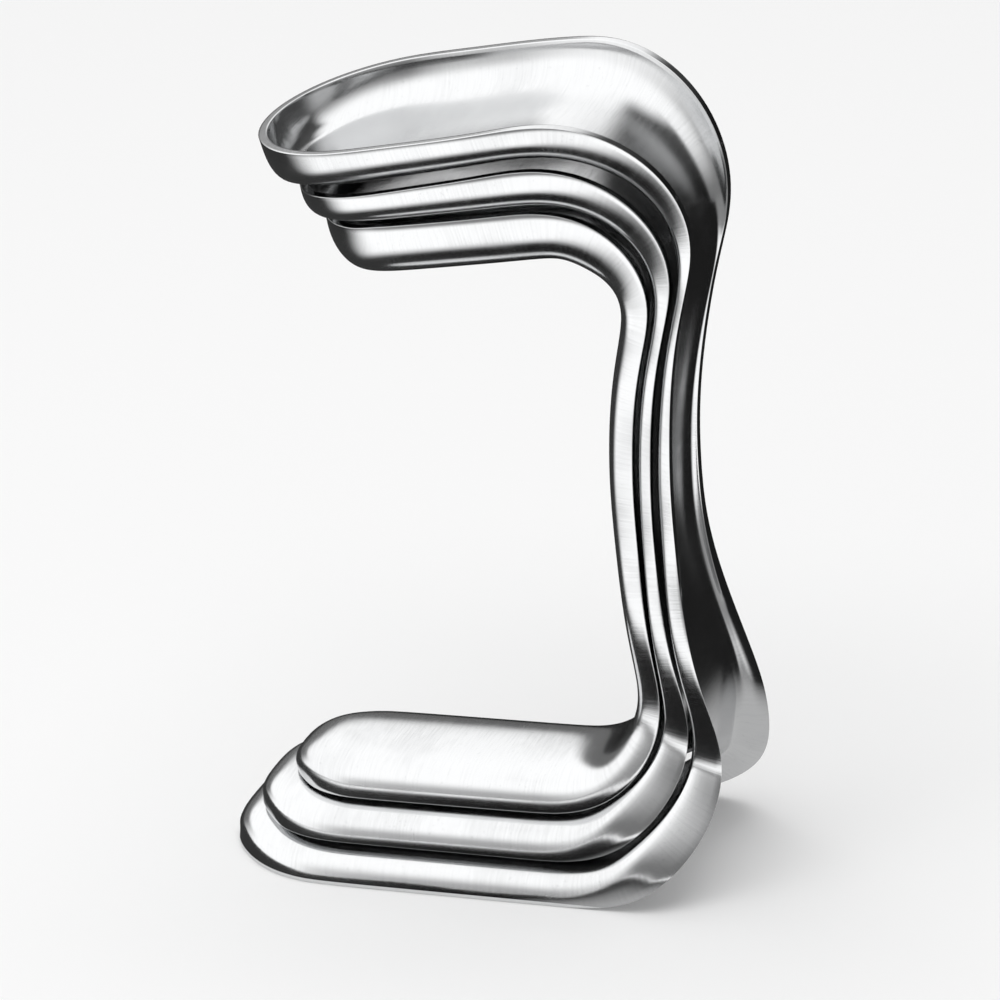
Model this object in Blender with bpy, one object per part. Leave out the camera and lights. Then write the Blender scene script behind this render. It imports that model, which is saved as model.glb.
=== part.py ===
"""Nest of three double-ended Sims specula, large around medium around small.

Each speculum is one piece of sheet steel, a gutter bent into a C: an upper blade, a narrow
handle and a lower blade. The gutter is hollow on the outer side of the C. The nest stands on
the large speculum's lower rims, +Z is up, the blades point to -X, and the XZ plane is the
plane of symmetry. The origin is the middle of the nest's box, on the surface it stands on.
"""

import math
from collections import namedtuple

import bmesh
import bpy
import numpy as np

# Sheet and clearance
SHEET = 0.0015
NEST_GAP = 0.0004

# Side view of the large speculum's rim line: its tips, seen from the waist of the handle
WAIST_HEIGHT = 0.0633
UPPER_TIP_RISE = 0.0638
UPPER_TIP_REACH = 0.0654
LOWER_TIP_REACH = 0.0832

# Waist, upper tip and lower tip of each smaller speculum, as (x, z) steps from the larger one's
LARGE_TO_MEDIUM = ((-0.0041, -0.0032), (0.0057, -0.0087), (0.0046, 0.0067))
MEDIUM_TO_SMALL = ((-0.0030, 0.0029), (0.0034, -0.0058), (0.0059, 0.0054))

# The handle bows towards the tips with these radii above and below its waist
LARGE_BOWS = (0.1401, 0.1094)
MEDIUM_BOWS = (0.1315, 0.0994)
SMALL_BOWS = (0.1091, 0.1888)
CURVE_EASE = 0.008

# Bends between handle and blades, and how far each blade leans in towards the other, degrees
LARGE_BENDS = (0.0207, 0.0231)
MEDIUM_BENDS = (0.0185, 0.0217)
SMALL_BENDS = (0.0153, 0.0194)
LARGE_LEANS = (10.4, 0.0)
MEDIUM_LEANS = (12.1, 0.0)
SMALL_LEANS = (8.6, -0.5)

# Widths over the rims: waist, upper neck, upper blade, lower neck, lower blade
LARGE_WIDTHS = (0.0146, 0.0174, 0.0400, 0.0216, 0.0412)
MEDIUM_WIDTHS = (0.0138, 0.0160, 0.0340, 0.0192, 0.0348)
SMALL_WIDTHS = (0.0130, 0.0148, 0.0250, 0.0172, 0.0246)

# Shares of the way from waist to tip over which the handle widens, then the blade flares
NECK_UP, FLARE_UP = (0.08, 0.27), (0.29, 0.74)
NECK_DOWN, FLARE_DOWN = (0.00, 0.21), (0.27, 0.47)

# Depths of the small speculum's gutter: waist, upper blade, lower blade. The larger ones' crowns
# lie one clearance outside the next rim line.
SMALL_DEPTHS = (0.0049, 0.0103, 0.0056)
DEEPEN_SHARE = 0.6

# Length of the rounded spoon tips seen from above, and how far from the tip the crown closes
LARGE_TIP, LARGE_CLOSING = 0.0215, 0.0055
MEDIUM_TIP, MEDIUM_CLOSING = 0.0180, 0.0055
SMALL_TIP, SMALL_CLOSING = 0.0150, 0.0080

# Shape of the gutter's section and of the closing crown, where 2 is an ellipse
SECTION_POWER = 3.0
CLOSING_POWER = 2.2

# Mesh
PATH_STEP = 0.00025
BISECTIONS = 40
STATION_STEP = 0.005
TIP_STATIONS = 7
ACROSS = 12

STEEL_COLOUR = (0.62, 0.63, 0.64, 1.0)
STEEL_ROUGHNESS = 0.18

Size = namedtuple("Size", "name bows bends leans widths tip closing")
LARGE = Size("large_speculum", LARGE_BOWS, LARGE_BENDS, LARGE_LEANS, LARGE_WIDTHS, LARGE_TIP,
             LARGE_CLOSING)
MEDIUM = Size("medium_speculum", MEDIUM_BOWS, MEDIUM_BENDS, MEDIUM_LEANS, MEDIUM_WIDTHS,
              MEDIUM_TIP, MEDIUM_CLOSING)
SMALL = Size("small_speculum", SMALL_BOWS, SMALL_BENDS, SMALL_LEANS, SMALL_WIDTHS, SMALL_TIP,
             SMALL_CLOSING)

# A rim line in the side view: s is the distance from the waist, positive towards the lower
# tip, and points holds the waist and the tips it was drawn through
Path = namedtuple("Path", "s x z deepen_up deepen_down points")


def clear_scene():
    for obj in list(bpy.data.objects):
        bpy.data.objects.remove(obj, do_unlink=True)


def ease(t):
    """0 to 1 with a level start and end."""
    t = np.clip(t, 0.0, 1.0)
    return t * t * (3.0 - 2.0 * t)


def trace(bow_radius, bend_radius, lean_out, lean_in, blade):
    """Half a rim line from the waist up and over, turning to -X: distances, x, z and bend."""
    handle = bow_radius * lean_out
    bend = bend_radius * (math.pi / 2 + lean_in + lean_out)
    steps = int(math.ceil((handle + bend + blade) / PATH_STEP))
    s = np.linspace(0.0, handle + bend + blade, steps + 1)
    into_bend = ease((s - handle) / CURVE_EASE + 0.5)
    out_of_bend = ease((s - handle - bend) / CURVE_EASE + 0.5)
    curvature = (into_bend - 1.0) / bow_radius + (into_bend - out_of_bend) / bend_radius
    step = np.diff(s)
    heading = np.concatenate([[0.0], np.cumsum((curvature[1:] + curvature[:-1]) / 2 * step)])
    middle = (heading[1:] + heading[:-1]) / 2
    x = np.concatenate([[0.0], np.cumsum(-np.sin(middle) * step)])
    z = np.concatenate([[0.0], np.cumsum(np.cos(middle) * step)])
    return s, x, z, (handle - CURVE_EASE / 2, handle + DEEPEN_SHARE * bend)


def half_rim_line(bow_radius, bend_radius, lean_in, tip):
    """The half rim line whose straight blade ends at tip, given from the waist as (x, z)."""
    lean_in = math.radians(lean_in)
    along = np.array([-math.cos(lean_in), -math.sin(lean_in)])
    across = np.array([-math.sin(lean_in), math.cos(lean_in)])
    target = float(across @ tip)
    low, high = math.radians(1.0), math.radians(60.0)
    for _ in range(BISECTIONS):
        lean_out = (low + high) / 2
        s, x, z, deepen = trace(bow_radius, bend_radius, lean_out, lean_in, CURVE_EASE)
        if float(across @ (x[-1], z[-1])) < target:
            low = lean_out
        else:
            high = lean_out
    blade = CURVE_EASE + float(along @ (tip[0] - x[-1], tip[1] - z[-1]))
    return trace(bow_radius, bend_radius, lean_out, lean_in, blade)


def rim_line(size, waist, upper_tip, lower_tip):
    """A whole rim line, from the upper tip to the lower tip, through points in the side view."""
    up = np.array(upper_tip) - waist
    down = (np.array(lower_tip) - waist) * (1.0, -1.0)
    s_up, x_up, z_up, deepen_up = half_rim_line(size.bows[0], size.bends[0], size.leans[0], up)
    s_down, x_down, z_down, deepen_down = half_rim_line(
        size.bows[1], size.bends[1], size.leans[1], down)
    s = np.concatenate([-s_up[::-1], s_down[1:]])
    x = np.concatenate([x_up[::-1], x_down[1:]]) + waist[0]
    z = np.concatenate([z_up[::-1], -z_down[1:]]) + waist[1]
    return Path(s, x, z, deepen_up, deepen_down, (waist, upper_tip, lower_tip))


def large_rim_line():
    """The large speculum's rim line, centred over the origin and standing on its lower blade."""
    waist = np.array([0.0, WAIST_HEIGHT])
    upper_tip = waist + (-UPPER_TIP_REACH, UPPER_TIP_RISE)
    lower_tip = waist + (-LOWER_TIP_REACH, -WAIST_HEIGHT)
    path = rim_line(LARGE, waist, upper_tip, lower_tip)
    shift = np.array([-(path.x.min() + path.x.max()) / 2, 0.0])
    return rim_line(LARGE, waist + shift, upper_tip + shift, lower_tip + shift)


def smaller_rim_line(path, steps, smaller):
    """The next smaller speculum's rim line, stepped inwards from the larger one's."""
    return rim_line(smaller, *(point + step for point, step in zip(path.points, steps)))


def inward_normals(path):
    """Unit normals of a rim line, pointing to the inner side of the C."""
    along_x = np.gradient(path.x)
    along_z = np.gradient(path.z)
    length = np.hypot(along_x, along_z)
    return along_z / length, -along_x / length


def depth_outside(path, smaller):
    """Depths that put a gutter's crown one clearance outside the smaller one's rim line."""
    normal_x, normal_z = inward_normals(path)
    apart_x = smaller.x - path.x[:, None]
    apart_z = smaller.z - path.z[:, None]
    ahead = apart_x * normal_x[:, None] + apart_z * normal_z[:, None]
    aside = apart_x * normal_z[:, None] - apart_z * normal_x[:, None]
    same_half = (path.s[:, None] < 0.0) == (smaller.s[:-1] < 0.0)
    crossed = same_half & (aside[:, :-1] * aside[:, 1:] <= 0.0) & (ahead[:, :-1] > 0.0)
    share = aside[:, :-1] / (aside[:, :-1] - aside[:, 1:] + 1e-12)
    distance = ahead[:, :-1] + share * (ahead[:, 1:] - ahead[:, :-1])
    nearest = np.where(crossed, distance, np.inf).min(axis=1)
    met = np.isfinite(nearest)
    return np.interp(path.s, path.s[met], nearest[met]) - NEST_GAP


def small_depth(path):
    """Depth of the small speculum's gutter at each point of its rim line."""
    waist_depth, upper_depth, lower_depth = SMALL_DEPTHS
    up_start, up_end = path.deepen_up
    down_start, down_end = path.deepen_down
    up = ease((-path.s - up_start) / (up_end - up_start))
    down = ease((path.s - down_start) / (down_end - down_start))
    return (waist_depth + (upper_depth - waist_depth) * up
            + (lower_depth - waist_depth) * down)


def crown_closing(to_tip, closing):
    """How much of the depth is left at a distance from the tip."""
    short = max(0.0, 1.0 - to_tip / closing)
    return max(0.0, 1.0 - short ** CLOSING_POWER) ** (1.0 / CLOSING_POWER)


def half_width_at(s, path, size):
    """Half of the width over the rims, before the tips close."""
    waist, neck_up, blade_up, neck_down, blade_down = size.widths
    if s < 0:
        share, neck, blade, widen, flare = s / path.s[0], neck_up, blade_up, NECK_UP, FLARE_UP
    else:
        share, neck, blade, widen, flare = (s / path.s[-1], neck_down, blade_down, NECK_DOWN,
                                            FLARE_DOWN)
    width = (waist + (neck - waist) * ease((share - widen[0]) / (widen[1] - widen[0]))
             + (blade - neck) * ease((share - flare[0]) / (flare[1] - flare[0])))
    return float(width) / 2


def stations(path, size):
    """Distances along the outer and inner skins, with the share of the way into a tip."""
    body_start, body_end = path.s[0] + size.tip, path.s[-1] - size.tip
    reaches = [math.sin(math.pi / 2 * i / TIP_STATIONS) for i in range(1, TIP_STATIONS)] + [1.0]
    count = int(round((body_end - body_start) / STATION_STEP))
    found = [(body_start - size.tip * reach, body_start - (size.tip - SHEET) * reach, reach)
             for reach in reversed(reaches)]
    for i in range(count + 1):
        s = body_start + (body_end - body_start) * i / count
        found.append((s, s, 0.0))
    found += [(body_end + size.tip * reach, body_end + (size.tip - SHEET) * reach, reach)
              for reach in reaches]
    return found


def skin_rings(mesh, path, size, depth, inset):
    """Rows of vertices across one skin: a gutter's section at each station, closed to a point
    at the tips."""
    normal_x, normal_z = inward_normals(path)
    rings = []
    for outer_s, inner_s, reach in stations(path, size):
        s = inner_s if inset else outer_s
        x, z = np.interp(s, path.s, path.x), np.interp(s, path.s, path.z)
        nx, nz = np.interp(s, path.s, normal_x), np.interp(s, path.s, normal_z)
        if reach == 1.0:
            rings.append([mesh.verts.new((x, 0.0, z))])
            continue
        to_tip = min(s - path.s[0], path.s[-1] - s) - inset
        half = (half_width_at(s, path, size) - inset) * math.sqrt(1.0 - reach * reach)
        deep = ((float(np.interp(s, path.s, depth)) - inset)
                * crown_closing(to_tip, size.closing - inset))
        ring = []
        for i in range(ACROSS + 1):
            angle = math.pi * i / ACROSS
            across = math.copysign(abs(math.cos(angle)) ** (2.0 / SECTION_POWER),
                                   math.cos(angle))
            rise = deep * math.sin(angle) ** (2.0 / SECTION_POWER) if 0 < i < ACROSS else 0.0
            ring.append(mesh.verts.new((x + nx * rise, -half * across, z + nz * rise)))
        rings.append(ring)
    return rings


def close_skin(mesh, rings):
    """Faces between neighbouring rows of one skin."""
    for here, there in zip(rings, rings[1:]):
        for i in range(ACROSS):
            corners = [here[min(i, len(here) - 1)], here[min(i + 1, len(here) - 1)],
                       there[min(i + 1, len(there) - 1)], there[min(i, len(there) - 1)]]
            mesh.faces.new(list(dict.fromkeys(corners)))


def close_rim(mesh, outer, inner):
    """The flat edge of the sheet, on both sides and round the tips."""
    for side in (0, -1):
        for i in range(len(outer) - 1):
            mesh.faces.new([outer[i][side], outer[i + 1][side],
                            inner[i + 1][side], inner[i][side]])


def make_steel():
    steel = bpy.data.materials.new("polished_steel")
    steel.use_nodes = True
    shader = steel.node_tree.nodes["Principled BSDF"]
    shader.inputs["Base Color"].default_value = STEEL_COLOUR
    shader.inputs["Metallic"].default_value = 1.0
    shader.inputs["Roughness"].default_value = STEEL_ROUGHNESS
    return steel


def make_speculum(path, size, depth, parent):
    """One speculum, its origin at the waist of its rim line."""
    mesh = bmesh.new()
    outer = skin_rings(mesh, path, size, depth, 0.0)
    inner = skin_rings(mesh, path, size, depth, SHEET)
    close_skin(mesh, outer)
    close_skin(mesh, inner)
    close_rim(mesh, outer, inner)
    bmesh.ops.recalc_face_normals(mesh, faces=mesh.faces)
    waist = (float(np.interp(0.0, path.s, path.x)), 0.0, float(np.interp(0.0, path.s, path.z)))
    bmesh.ops.translate(mesh, verts=mesh.verts, vec=[-value for value in waist])
    data = bpy.data.meshes.new(size.name)
    mesh.to_mesh(data)
    mesh.free()
    data.materials.append(make_steel())
    data.shade_smooth()
    data.set_sharp_from_angle(angle=math.radians(50.0))
    obj = bpy.data.objects.new(size.name, data)
    bpy.context.collection.objects.link(obj)
    obj.location = waist
    if parent:
        obj.parent = parent
        obj.matrix_parent_inverse = parent.matrix_world.inverted()
    bpy.context.view_layer.update()
    return obj


def main():
    clear_scene()
    large_path = large_rim_line()
    medium_path = smaller_rim_line(large_path, LARGE_TO_MEDIUM, MEDIUM)
    small_path = smaller_rim_line(medium_path, MEDIUM_TO_SMALL, SMALL)
    large = make_speculum(large_path, LARGE, depth_outside(large_path, medium_path), None)
    medium = make_speculum(medium_path, MEDIUM, depth_outside(medium_path, small_path), large)
    make_speculum(small_path, SMALL, small_depth(small_path), medium)


main()
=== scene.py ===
"""Dresses the nest of three double-ended Sims specula in polished steel, in a plain studio."""

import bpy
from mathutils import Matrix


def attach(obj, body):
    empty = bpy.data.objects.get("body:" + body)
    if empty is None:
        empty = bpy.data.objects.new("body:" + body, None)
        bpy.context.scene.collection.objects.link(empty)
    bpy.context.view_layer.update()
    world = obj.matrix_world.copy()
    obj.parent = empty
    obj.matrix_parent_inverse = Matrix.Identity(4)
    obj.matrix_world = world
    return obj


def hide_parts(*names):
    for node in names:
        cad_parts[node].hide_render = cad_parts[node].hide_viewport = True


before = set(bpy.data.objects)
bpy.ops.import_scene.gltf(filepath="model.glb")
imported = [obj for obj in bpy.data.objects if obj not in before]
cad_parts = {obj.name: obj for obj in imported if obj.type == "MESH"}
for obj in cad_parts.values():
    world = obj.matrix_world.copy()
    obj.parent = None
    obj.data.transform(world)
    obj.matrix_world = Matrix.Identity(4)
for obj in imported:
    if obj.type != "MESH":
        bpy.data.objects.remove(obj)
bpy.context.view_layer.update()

import math

import bmesh
import bpy
import numpy as np
from mathutils import Matrix, Vector

bl_info = {
    "name": "Sims specula nest",
    "version": (1, 0, 0),
    "blender": (4, 5, 0),
    "location": "View3D > Sidebar > Specula",
    "description": "Rounds the rims of the three nested specula, gives them their steel and "
                   "sets up the studio",
    "category": "Object",
}

SIZES = ("large", "medium", "small")
SHEET_MAP = "sheet"
RIM_MASK = "rim"

# The frame's points in the plane of symmetry are this close to it, and more edges than this meet
# at the points of the tips
IN_PLANE = 1e-6
EDGES_PER_POINT = 6

# Corners of the sheet sharper than this are its rims
SHARP_ANGLE = math.radians(50.0)

# Gutters shallower than the first, at the tips, have less of the rims' reach, and those shallower
# than the second have none
FULL_REACH_DEPTH = 0.002
LEAST_REACH_DEPTH = FULL_REACH_DEPTH / 100

# Shape of the frame's sections, where 2 is an ellipse, the height over the lowest crown up to
# which they are made fuller, and the part of it over which that fades out
CAD_POWER = 3.0
SHOULDER_TOP = 0.065
SHOULDER_FADE = 0.03

# How steep the crown of the lower bend is where its shoulders begin to fill, and where they
# are full, with 1 upright
BEND_START = 0.05
BEND_FULL = 0.65

# Noise of the steel: scales per metre, and the levels from which it begins and is full
HANDLING_SCALE = 70.0
HANDLING_LEVELS = (0.42, 0.66)
SPECK_SCALE = 1700.0
SPECK_LEVELS = (0.69, 0.74)
STREAK_AVERAGE = 0.5

# The broad streaks' width and length, as multiples of the fine ones'
BROAD_WIDTH = 7
BROAD_LENGTH = 1.6

# Share of the dull colour, roughness and depth that each kind of mark adds
DULLED_TINT = 0.40
FINE_TINT = 0.7
SPECK_TINT = 0.4
DULLED_ROUGHNESS = 0.05
FINE_ROUGHNESS = 0.13
BROAD_ROUGHNESS = 0.06
BROAD_DEPTH = 0.8
HANDLING_DEPTH = 2.0

# What lies to one side of the nest: the azimuth of its middle in degrees, and the values of
# towards() from which it begins and is full
TENT_LEFT = (-100.0, -0.1, 0.75)
FLAG_BEHIND = (-157.0, 0.4, 0.8)
FLAG_RIGHT = (133.0, 0.6, 0.85)
TABLE_FRONT = (-5.0, 0.15, 0.75)
TABLE_LEFT = (-90.0, 0.2, 0.8)
TABLE_RIGHT = (90.0, 0.3, 0.9)

# Tent: brightness in front at the horizon, what its top adds, the share of the light that each
# flag takes, and the heights between which top and flags begin or end, in tent radii
FRONT_GLOW = 0.24
TOP_GLOW = 1.25
TOP_HEIGHTS = (0.1, 0.95)
FLAG_BEHIND_TAKES = 0.88
FLAG_BEHIND_HEIGHTS = (0.29, 0.42)
FLAG_RIGHT_TAKES = 0.93
FLAG_RIGHT_HEIGHTS = (0.8, 1.0)

# Table: a glowing disc that only the steel sees, in place of the floor. It has painted shade
# close
#  round the nest and painted light of the lit floor in a sweep in front and near the nest on the
#  right. Its size in tent radii, its height, the distances from the nest between which its parts
#  begin or end, and their brightness as shares of the tent's
TABLE_RADIUS = 0.98
TABLE_HEIGHT = 0.0006
# Out to these distances from the nest the table stays dark: painted shade of the nest on the
# floor
NEST_SHADE_ENDS = (0.085, 0.14)
SWEEP_DIMS = (0.2, 0.32)
SWEEP_DIMS_BY = 0.8
TABLE_LEFT_GLOW = 0.02
TABLE_RIGHT_ENDS = (0.05, 0.13)
TABLE_RIGHT_GLOW = 0.4
TABLE_LEAST_GLOW = 0.015

FLOOR_SIDE = 12.0
SOFTBOX_PLACE = (-0.1, -0.15)

# Camera of the photograph: where it looks, from how far, and at what angles in degrees
AIM = (-0.0096, 0.0338, 0.0445)
DISTANCE = 1.5
AZIMUTH = 23.32
ELEVATION = 25.53
ROLL = 6.13
LENS = 327.7


class SheetSettings(bpy.types.PropertyGroup):
    rim_rounding: bpy.props.FloatProperty(
        name="Rim rounding", description="Width of the rounding along each edge of the rims",
        default=0.0004, min=0.00005, max=0.0007, unit="LENGTH", precision=5)
    merge_distance: bpy.props.FloatProperty(
        name="Merge distance", description="Points of the frame this close become one",
        default=0.00002, min=0.000001, unit="LENGTH", precision=6)
    rim_reach: bpy.props.FloatProperty(
        name="Rim reach", description="How much closer the smaller specula's rims come to the "
                                      "crown that they rest on",
        default=0.00035, min=0.0, max=0.00035, unit="LENGTH", precision=5)
    shoulder_power: bpy.props.FloatProperty(
        name="Shoulder power", description="Fullness of the sections in the lower bends, where "
                                           "3 is the frame's",
        default=6.5, min=3.0, max=8.0)
    smoothness: bpy.props.IntProperty(
        name="Smoothness", description="Subdivision levels of the sheet",
        default=2, min=1, max=2)


class SteelSettings(bpy.types.PropertyGroup):
    light_colour: bpy.props.FloatVectorProperty(
        name="Steel", description="Colour of clean polished steel",
        subtype="COLOR", default=(0.66, 0.665, 0.67), min=0.0, max=1.0)
    dull_colour: bpy.props.FloatVectorProperty(
        name="Dulled steel", description="Colour where handling has dulled the polish",
        subtype="COLOR", default=(0.55, 0.555, 0.56), min=0.0, max=1.0)
    roughness: bpy.props.FloatProperty(
        name="Roughness", description="Roughness of the polished sheet",
        default=0.15, min=0.02, max=0.6, subtype="FACTOR")
    rim_roughness: bpy.props.FloatProperty(
        name="Rim roughness", description="Roughness of the buffed rims",
        default=0.11, min=0.02, max=0.6, subtype="FACTOR")
    streak_width: bpy.props.FloatProperty(
        name="Streak width", description="Width of one polishing streak",
        default=0.00035, min=0.00005, unit="LENGTH", precision=5)
    streak_length: bpy.props.FloatProperty(
        name="Streak length", description="Length of one polishing streak, across the gutter",
        default=0.006, min=0.0005, unit="LENGTH", precision=4)
    streak_depth: bpy.props.FloatProperty(
        name="Streak depth", description="Depth of the polishing streaks",
        default=0.000004, min=0.0, unit="LENGTH", precision=7)


class StudioSettings(bpy.types.PropertyGroup):
    floor_colour: bpy.props.FloatVectorProperty(
        name="Floor", description="Colour of the floor",
        subtype="COLOR", default=(0.93, 0.93, 0.93), min=0.0, max=1.0)
    softbox_side: bpy.props.FloatProperty(
        name="Softbox side", description="Side of the square softbox overhead",
        default=1.5, min=0.1, unit="LENGTH")
    softbox_height: bpy.props.FloatProperty(
        name="Softbox height", description="Height of the softbox over the floor",
        default=1.4, min=0.3, unit="LENGTH")
    softbox_brightness: bpy.props.FloatProperty(
        name="Softbox brightness", description="Brightness of the softbox, where 1 is white",
        default=1.85, min=0.0)
    room_light: bpy.props.FloatProperty(
        name="Room light", description="Brightness of the light from all round",
        default=0.55, min=0.0)
    tent_radius: bpy.props.FloatProperty(
        name="Tent radius", description="Radius of the tent that the steel mirrors",
        default=1.3, min=0.3, unit="LENGTH")
    tent_brightness: bpy.props.FloatProperty(
        name="Tent brightness", description="Brightness of the tent's cloth, where 1 is white",
        default=1.5, min=0.0)


class Wire:
    """A socket of a node tree. Python's operators on it add Math nodes."""

    def __init__(self, tree, socket):
        self.tree = tree
        self.socket = socket

    def _math(self, operation, first, second):
        return self.tree.add("ShaderNodeMath", {"operation": operation}, {0: first, 1: second})

    def __add__(self, other):
        return self._math("ADD", self, other)

    __radd__ = __add__

    def __sub__(self, other):
        return self._math("SUBTRACT", self, other)

    def __rsub__(self, other):
        return self._math("SUBTRACT", other, self)

    def __mul__(self, other):
        return self._math("MULTIPLY", self, other)

    __rmul__ = __mul__

    def __truediv__(self, other):
        return self._math("DIVIDE", self, other)

    def __pow__(self, other):
        return self._math("POWER", self, other)


class Tree:
    """A node tree, emptied, to which nodes are added one by one."""

    def __init__(self, owner):
        owner.use_nodes = True
        self.tree = owner.node_tree
        self.tree.nodes.clear()

    def add(self, kind, settings=None, sockets=None, output=0):
        """Adds a node: its settings first, then the values or wires of its sockets."""
        node = self.tree.nodes.new(kind)
        for name, value in (settings or {}).items():
            setattr(node, name, value)
        for name, value in (sockets or {}).items():
            if isinstance(value, Wire):
                self.tree.links.new(value.socket, node.inputs[name])
            else:
                node.inputs[name].default_value = value
        return Wire(self, node.outputs[output]) if len(node.outputs) else None

    def between(self, wire, low, high):
        """0 below low, 1 above high, and smooth in between."""
        return self.add("ShaderNodeMapRange", {"interpolation_type": "SMOOTHSTEP"},
                        {"Value": wire, "From Min": low, "From Max": high})

    def mix(self, factor, first, second):
        """A mix of two colours."""
        return self.add("ShaderNodeMix", {"data_type": "RGBA"},
                        {"Factor": factor, 6: first, 7: second}, output=2)


def rgba(colour):
    return (*colour, 1.0)


def make_steel(settings):
    """Steel buffed across the gutter, with dulled patches and brighter rims."""
    material = bpy.data.materials.new("buffed_polished_steel")
    tree = Tree(material)
    sheet = tree.add("ShaderNodeUVMap", {"uv_map": SHEET_MAP})
    place = tree.add("ShaderNodeTexCoord", output="Object")
    rim = tree.add("ShaderNodeAttribute", {"attribute_name": RIM_MASK}, output="Fac")

    def streaks(width, length, detail):
        grain = tree.add("ShaderNodeVectorMath", {"operation": "MULTIPLY"},
                         {0: sheet, 1: (1.0 / width, 1.0 / length, 0.0)})
        return tree.add("ShaderNodeTexNoise", {"noise_dimensions": "2D"},
                        {"Vector": grain, "Scale": 1.0, "Detail": detail, "Roughness": 0.6})

    def clouds(scale, detail):
        return tree.add("ShaderNodeTexNoise", {},
                        {"Vector": place, "Scale": scale, "Detail": detail, "Roughness": 0.55})

    fine = streaks(settings.streak_width, settings.streak_length, 3.0)
    broad = streaks(settings.streak_width * BROAD_WIDTH, settings.streak_length * BROAD_LENGTH,
                    2.0)
    handling = clouds(HANDLING_SCALE, 3.0)
    specks = tree.between(clouds(SPECK_SCALE, 1.0), *SPECK_LEVELS)
    dulled = tree.between(handling, *HANDLING_LEVELS)

    colour = tree.mix(dulled * DULLED_TINT + (fine - STREAK_AVERAGE) * FINE_TINT
                      + specks * SPECK_TINT,
                      rgba(settings.light_colour), rgba(settings.dull_colour))
    roughness = (settings.roughness + (fine - STREAK_AVERAGE) * FINE_ROUGHNESS
                 + (broad - STREAK_AVERAGE) * BROAD_ROUGHNESS + dulled * DULLED_ROUGHNESS)
    roughness = roughness * (1 - rim) + settings.rim_roughness * rim
    surface = tree.add("ShaderNodeBump", {},
                       {"Strength": 1.0, "Distance": settings.streak_depth,
                        "Height": fine + broad * BROAD_DEPTH + handling * HANDLING_DEPTH})
    shader = tree.add("ShaderNodeBsdfPrincipled", {},
                      {"Base Color": colour, "Roughness": roughness, "Metallic": 1.0,
                       "Normal": surface})
    tree.add("ShaderNodeOutputMaterial", {}, {"Surface": shader})
    return material


def only(obj):
    """Makes one object the only selected one, and active."""
    bpy.ops.object.select_all(action="DESELECT")
    obj.select_set(True)
    bpy.context.view_layer.objects.active = obj


def apply_modifiers(obj):
    only(obj)
    for modifier in list(obj.modifiers):
        bpy.ops.object.modifier_apply(modifier=modifier.name)


def crown_line(mesh):
    """The outer skin's points in the plane of symmetry, from the upper tip to the lower."""
    form = bmesh.new()
    form.from_mesh(mesh)
    tips = [vert for vert in form.verts if len(vert.link_edges) > EDGES_PER_POINT]
    middle = sum(tip.co.z for tip in tips) / len(tips)
    start = min((tip for tip in tips if tip.co.z > middle), key=lambda tip: tip.co.x)
    walk = [start]
    while len(walk) == 1 or walk[-1] not in tips:
        onward = [edge.other_vert(walk[-1]) for edge in walk[-1].link_edges]
        onward = [vert for vert in onward if abs(vert.co.y) < IN_PLANE and vert not in walk
                  and not (len(walk) == 1 and vert in tips)]
        if not onward:
            raise RuntimeError("the crown line of " + mesh.name + " breaks off")
        walk.append(onward[0])
    points = np.array([(vert.co.x, vert.co.z) for vert in walk])
    form.free()
    return points


def distance_along(points, line):
    """How far along a line in the side view the nearest point to each given point lies."""
    start, step = line[:-1], np.diff(line, axis=0)
    length = np.hypot(*step.T)
    covered = np.concatenate([[0.0], np.cumsum(length)])[:-1]
    offset = points[:, None, :] - start[None, :, :]
    share = np.clip((offset * step).sum(axis=2) / length ** 2, 0.0, 1.0)
    gap = np.hypot(*np.moveaxis(offset - share[:, :, None] * step, 2, 0))
    nearest = gap.argmin(axis=1)
    rows = np.arange(len(points))
    return covered[nearest] + share[rows, nearest] * length[nearest]


def outer_skin(form, on_crown):
    """The points of the skin that the crown line lies on, up to the rims."""
    found, fresh = {on_crown}, [on_crown]
    while fresh:
        for edge in fresh.pop().link_edges:
            if edge.calc_face_angle(0.0) < SHARP_ANGLE:
                onward = [vert for vert in edge.verts if vert not in found]
                found.update(onward)
                fresh.extend(onward)
    return found


def eased(share):
    """A share held between 0 and 1, with smooth ends."""
    share = np.clip(share, 0.0, 1.0)
    return share * share * (3.0 - 2.0 * share)


def fill_shoulders(mesh, power):
    """Makes the crown of the lower bend flatter, so that the next smaller speculum closes it."""
    line = crown_line(mesh)
    form = bmesh.new()
    form.from_mesh(mesh)
    start = min(form.verts, key=lambda vert: math.hypot(vert.co.x - line[-2][0], vert.co.y,
                                                        vert.co.z - line[-2][1]))
    rings = {}
    for vert in outer_skin(form, start):
        away = np.array([vert.co.x, vert.co.z]) - line
        rings.setdefault(int(np.hypot(*away.T).argmin()), []).append(vert)
    heights = line[:, 1] - line[:, 1].min()
    step = np.gradient(line, axis=0)
    steepness = np.abs(step[:, 1]) / np.hypot(*step.T)
    weights = (eased((SHOULDER_TOP - heights) / SHOULDER_FADE)
               * eased((steepness - BEND_START) / (BEND_FULL - BEND_START)))
    for index, ring in rings.items():
        half = max(abs(vert.co.y) for vert in ring)
        rim = max(ring, key=lambda vert: abs(vert.co.y))
        rise = np.array([line[index][0] - rim.co.x, line[index][1] - rim.co.z])
        for vert in ring:
            share = min(1.0, abs(vert.co.y) / half) if half > 0.0 else 1.0
            fuller = ((1.0 - share ** power) ** (1.0 / power)
                      - (1.0 - share ** CAD_POWER) ** (1.0 / CAD_POWER))
            vert.co.x += rise[0] * fuller * weights[index]
            vert.co.z += rise[1] * fuller * weights[index]
    form.to_mesh(mesh)
    form.free()


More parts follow.
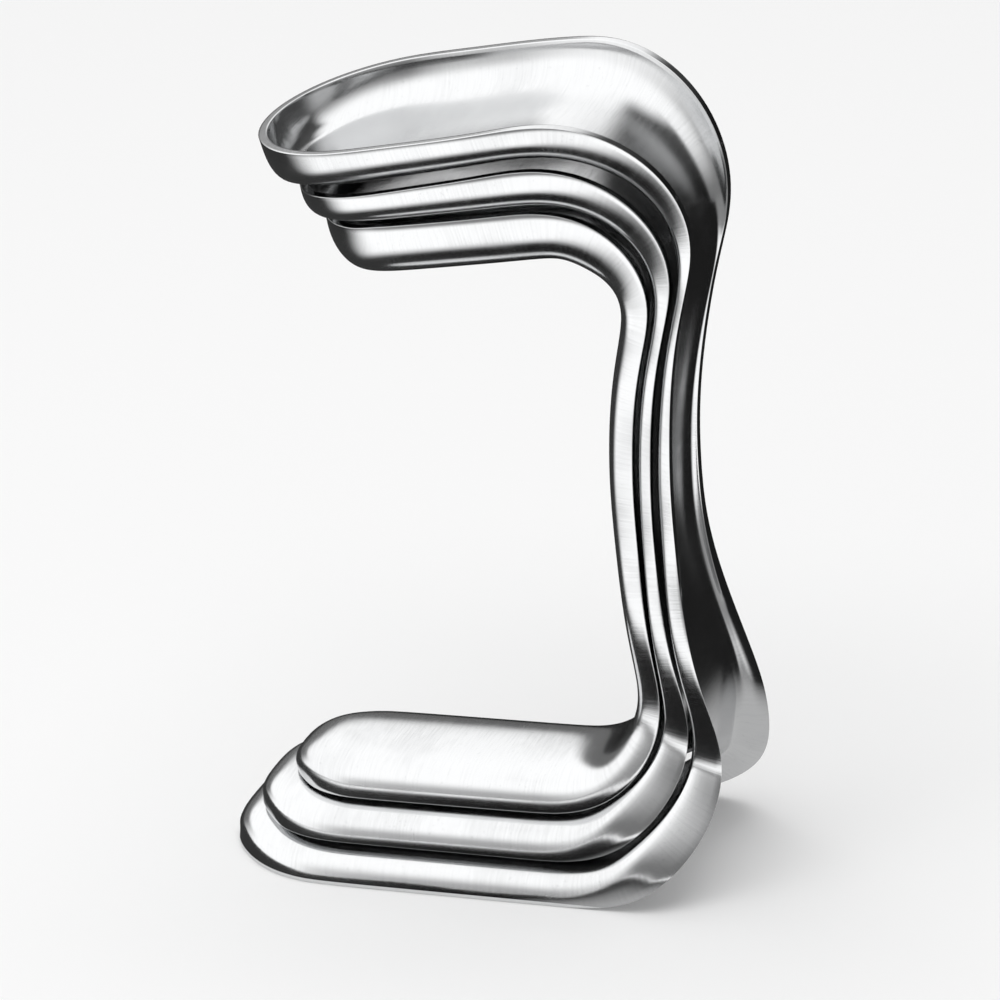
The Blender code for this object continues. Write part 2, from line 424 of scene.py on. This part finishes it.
def lay_out_sheet(mesh):
    """A UV map in metres: U runs along the gutter, V runs across it."""
    line = crown_line(mesh)
    places = np.empty(len(mesh.vertices) * 3)
    mesh.vertices.foreach_get("co", places)
    places = places.reshape(-1, 3)
    along = distance_along(places[:, (0, 2)], line)
    corners = np.empty(len(mesh.loops), dtype=np.int32)
    mesh.loops.foreach_get("vertex_index", corners)
    while mesh.uv_layers:
        mesh.uv_layers.remove(mesh.uv_layers[0])
    layer = mesh.uv_layers.new(name=SHEET_MAP)
    layer.uv.foreach_set("vector", np.stack([along, places[:, 1]], axis=1)[corners].ravel())


def mark_rims(mesh, reach):
    """Keeps the rims' edges sharp, gives their points the mask that buffs them, and moves them
    by the reach, straight away from the crown."""
    line = crown_line(mesh)
    form = bmesh.new()
    form.from_mesh(mesh)
    crease = form.edges.layers.float.new("crease_edge")
    mask = form.verts.layers.float.new(RIM_MASK)
    for edge in form.edges:
        if edge.calc_face_angle(0.0) > SHARP_ANGLE:
            edge[crease] = 1.0
            for vert in edge.verts:
                vert[mask] = 1.0
    for vert in form.verts:
        away = np.array([vert.co.x, vert.co.z]) - line
        depth = np.hypot(*away.T)
        nearest = depth.argmin()
        if vert[mask] and depth[nearest] > LEAST_REACH_DEPTH:
            step = away[nearest] / max(depth[nearest], FULL_REACH_DEPTH) * reach
            vert.co.x += step[0]
            vert.co.z += step[1]
    form.to_mesh(mesh)
    form.free()


def make_speculum(size, settings, steel):
    """One speculum: the frame's sheet made smooth, with its rims rounded."""
    node = size + "_speculum"
    piece = bpy.data.objects.new("buffed_" + node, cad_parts[node].data.copy())
    piece.data.name = piece.name
    bpy.context.collection.objects.link(piece)
    only(piece)
    bpy.ops.mesh.customdata_custom_splitnormals_clear()
    bpy.ops.object.mode_set(mode="EDIT")
    bpy.ops.mesh.select_all(action="SELECT")
    bpy.ops.mesh.remove_doubles(threshold=settings.merge_distance)
    bpy.ops.mesh.tris_convert_to_quads(
        face_threshold=math.radians(50.0), shape_threshold=math.radians(60.0),
        topology_influence=1.0)
    bpy.ops.object.mode_set(mode="OBJECT")
    if size != "small":
        fill_shoulders(piece.data, settings.shoulder_power)
    mark_rims(piece.data, 0.0 if size == "large" else settings.rim_reach)
    lay_out_sheet(piece.data)
    smooth = piece.modifiers.new("smooth sheet", "SUBSURF")
    smooth.levels = smooth.render_levels = settings.smoothness
    rounding = piece.modifiers.new("rounded rims", "BEVEL")
    rounding.width = settings.rim_rounding
    rounding.segments = 3
    rounding.limit_method = "ANGLE"
    rounding.angle_limit = SHARP_ANGLE
    apply_modifiers(piece)
    bpy.ops.object.shade_smooth()
    piece.data.materials.clear()
    piece.data.materials.append(steel)
    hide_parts(node)
    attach(piece, size)
    return piece


class SPECULA_OT_nest(bpy.types.Operator):
    """Make the three nested specula from the frame's sheets"""
    bl_idname = "specula.nest"
    bl_label = "Make the specula"

    def execute(self, context):
        scene = context.scene
        steel = make_steel(scene.specula_steel)
        for size in SIZES:
            make_speculum(size, scene.specula_sheet, steel)
        return {"FINISHED"}


def in_reflections_only(obj):
    """A card that the steel shows and that neither the camera nor the floor sees."""
    obj.visible_camera = False
    obj.visible_diffuse = False
    obj.visible_shadow = False
    obj.visible_transmission = False
    obj.visible_volume_scatter = False


def glow(name, brightness_of):
    """A material that only glows, as brightly as a function of its place says."""
    material = bpy.data.materials.new(name)
    tree = Tree(material)
    place = tree.add("ShaderNodeTexCoord", output="Object")
    x, y, z = (tree.add("ShaderNodeSeparateXYZ", {}, {0: place}, output=axis)
               for axis in range(3))
    light = tree.add("ShaderNodeEmission", {},
                     {"Color": brightness_of(tree, x, y, z), "Strength": 1.0})
    tree.add("ShaderNodeOutputMaterial", {}, {"Surface": light})
    return material


def towards(x, y, azimuth):
    """1 in one direction from the nest, seen from above, 0 at right angles to it."""
    angle = math.radians(azimuth)
    return (x * math.sin(angle) - y * math.cos(angle)) / (x * x + y * y) ** 0.5


def beside(tree, x, y, side):
    """1 on one side of the nest and 0 away from it, with a smooth change between."""
    azimuth, begins, full = side
    return tree.between(towards(x, y, azimuth), begins, full)


def make_floor(settings):
    bpy.ops.object.select_all(action="DESELECT")
    bpy.ops.mesh.primitive_plane_add(size=FLOOR_SIDE, location=(0.0, 0.0, 0.0))
    floor = bpy.context.object
    floor.name = "floor"
    material = bpy.data.materials.new("floor_paper")
    tree = Tree(material)
    shader = tree.add("ShaderNodeBsdfPrincipled", {},
                      {"Base Color": rgba(settings.floor_colour), "Roughness": 0.9,
                       "Specular IOR Level": 0.1})
    tree.add("ShaderNodeOutputMaterial", {}, {"Surface": shader})
    floor.data.materials.append(material)


def make_surround(settings):
    """What the steel mirrors: a white tent, black flags to the right and low behind it, and a
    table in place of the floor that is dark but for a bright sweep in front: painted shade round
    the nest and painted light of the lit floor beyond it."""
    radius = settings.tent_radius
    bpy.ops.object.select_all(action="DESELECT")
    bpy.ops.mesh.primitive_uv_sphere_add(segments=96, ring_count=48, radius=radius)
    tent = bpy.context.object
    tent.name = "tent"

    def tent_brightness(tree, x, y, z):
        up = z / radius
        front = FRONT_GLOW + tree.between(up, *TOP_HEIGHTS) * TOP_GLOW
        left = beside(tree, x, y, TENT_LEFT)
        behind = beside(tree, x, y, FLAG_BEHIND) * (
            1.0 - tree.between(up, *FLAG_BEHIND_HEIGHTS))
        right = beside(tree, x, y, FLAG_RIGHT) * (1.0 - tree.between(up, *FLAG_RIGHT_HEIGHTS))
        cloth = front + left * (settings.tent_brightness - front)
        return cloth * (1.0 - behind * FLAG_BEHIND_TAKES) * (1.0 - right * FLAG_RIGHT_TAKES)

    tent.data.materials.append(glow("tent_cloth", tent_brightness))
    in_reflections_only(tent)

    bpy.ops.object.select_all(action="DESELECT")
    bpy.ops.mesh.primitive_circle_add(vertices=96, radius=radius * TABLE_RADIUS,
                                      fill_type="NGON", location=(0.0, 0.0, TABLE_HEIGHT))
    table = bpy.context.object
    table.name = "painted_floor_in_reflections"

    # Painted floor in reflections: painted shade close round the nest, painted light in the sweep
    # in front and near the nest on the right, dark elsewhere
    def painted_floor_brightness(tree, x, y, z):
        away = (x * x + y * y) ** 0.5
        sweep = tree.between(away, *NEST_SHADE_ENDS) * (
            1.0 - tree.between(away, *SWEEP_DIMS) * SWEEP_DIMS_BY)
        front = sweep * beside(tree, x, y, TABLE_FRONT)
        left = beside(tree, x, y, TABLE_LEFT) * TABLE_LEFT_GLOW
        right = beside(tree, x, y, TABLE_RIGHT) * (
            1.0 - tree.between(away, *TABLE_RIGHT_ENDS)) * TABLE_RIGHT_GLOW
        return (front + left + right) * settings.tent_brightness + TABLE_LEAST_GLOW

    table.data.materials.append(glow("painted_floor_shade_and_light", painted_floor_brightness))
    in_reflections_only(table)


def make_light(settings):
    lamp = bpy.data.lights.new("softbox", "AREA")
    lamp.shape = "SQUARE"
    lamp.size = settings.softbox_side
    lamp.energy = settings.softbox_brightness * math.pi * settings.softbox_side ** 2
    softbox = bpy.data.objects.new("softbox", lamp)
    softbox.location = (*SOFTBOX_PLACE, settings.softbox_height)
    softbox.visible_glossy = False
    bpy.context.collection.objects.link(softbox)

    world = bpy.context.scene.world or bpy.data.worlds.new("studio")
    bpy.context.scene.world = world
    tree = Tree(world)
    path = tree.add("ShaderNodeLightPath", output="Is Camera Ray")
    kinds = {output.name: Wire(tree, output) for output in path.socket.node.outputs}
    seen = tree.add("ShaderNodeMath", {"operation": "ADD", "use_clamp": True},
                    {0: kinds["Is Camera Ray"] + kinds["Is Glossy Ray"],
                     1: kinds["Is Transmission Ray"]})
    light = tree.add("ShaderNodeBackground", {},
                     {"Color": (1.0, 1.0, 1.0, 1.0),
                      "Strength": settings.room_light + seen * (1.0 - settings.room_light)})
    tree.add("ShaderNodeOutputWorld", {}, {"Surface": light})


def make_camera():
    azimuth, elevation = math.radians(AZIMUTH), math.radians(ELEVATION)
    outward = Vector((math.sin(azimuth) * math.cos(elevation),
                      -math.cos(azimuth) * math.cos(elevation), math.sin(elevation)))
    data = bpy.data.cameras.new("photo_camera")
    data.lens = LENS
    data.sensor_width = 36.0
    camera = bpy.data.objects.new("photo_camera", data)
    bpy.context.collection.objects.link(camera)
    level = outward.to_track_quat("Z", "Y").to_matrix().to_4x4()
    camera.matrix_world = (Matrix.Translation(Vector(AIM) + outward * DISTANCE) @ level
                           @ Matrix.Rotation(math.radians(-ROLL), 4, "Z"))
    bpy.context.scene.camera = camera


class SPECULA_OT_studio(bpy.types.Operator):
    """Make the floor, the light and the photograph's camera"""
    bl_idname = "specula.studio"
    bl_label = "Set up the studio"

    def execute(self, context):
        settings = context.scene.specula_studio
        make_floor(settings)
        make_surround(settings)
        make_light(settings)
        make_camera()
        context.scene.view_settings.view_transform = "Standard"
        return {"FINISHED"}


class SPECULA_PT_sidebar(bpy.types.Panel):
    """The specula's settings and steps"""
    bl_idname = "SPECULA_PT_sidebar"
    bl_label = "Specula"
    bl_space_type = "VIEW_3D"
    bl_region_type = "UI"
    bl_category = "Specula"

    def draw(self, context):
        scene = context.scene
        for title, settings, step in (
                ("Sheet", scene.specula_sheet, None),
                ("Steel", scene.specula_steel, SPECULA_OT_nest),
                ("Studio", scene.specula_studio, SPECULA_OT_studio)):
            box = self.layout.box()
            box.label(text=title)
            for name in settings.__annotations__:
                box.prop(settings, name)
            if step:
                box.operator(step.bl_idname)


GROUPS = {"specula_sheet": SheetSettings, "specula_steel": SteelSettings,
          "specula_studio": StudioSettings}
CLASSES = (*GROUPS.values(), SPECULA_OT_nest, SPECULA_OT_studio, SPECULA_PT_sidebar)


def register():
    for cls in CLASSES:
        bpy.utils.register_class(cls)
    for name, group in GROUPS.items():
        setattr(bpy.types.Scene, name, bpy.props.PointerProperty(type=group))


def unregister():
    for name in GROUPS:
        delattr(bpy.types.Scene, name)
    for cls in reversed(CLASSES):
        bpy.utils.unregister_class(cls)


def main():
    register()
    bpy.ops.object.select_all(action="DESELECT")
    bpy.ops.specula.nest()
    bpy.ops.specula.studio()


if __name__ == "__main__":
    main()
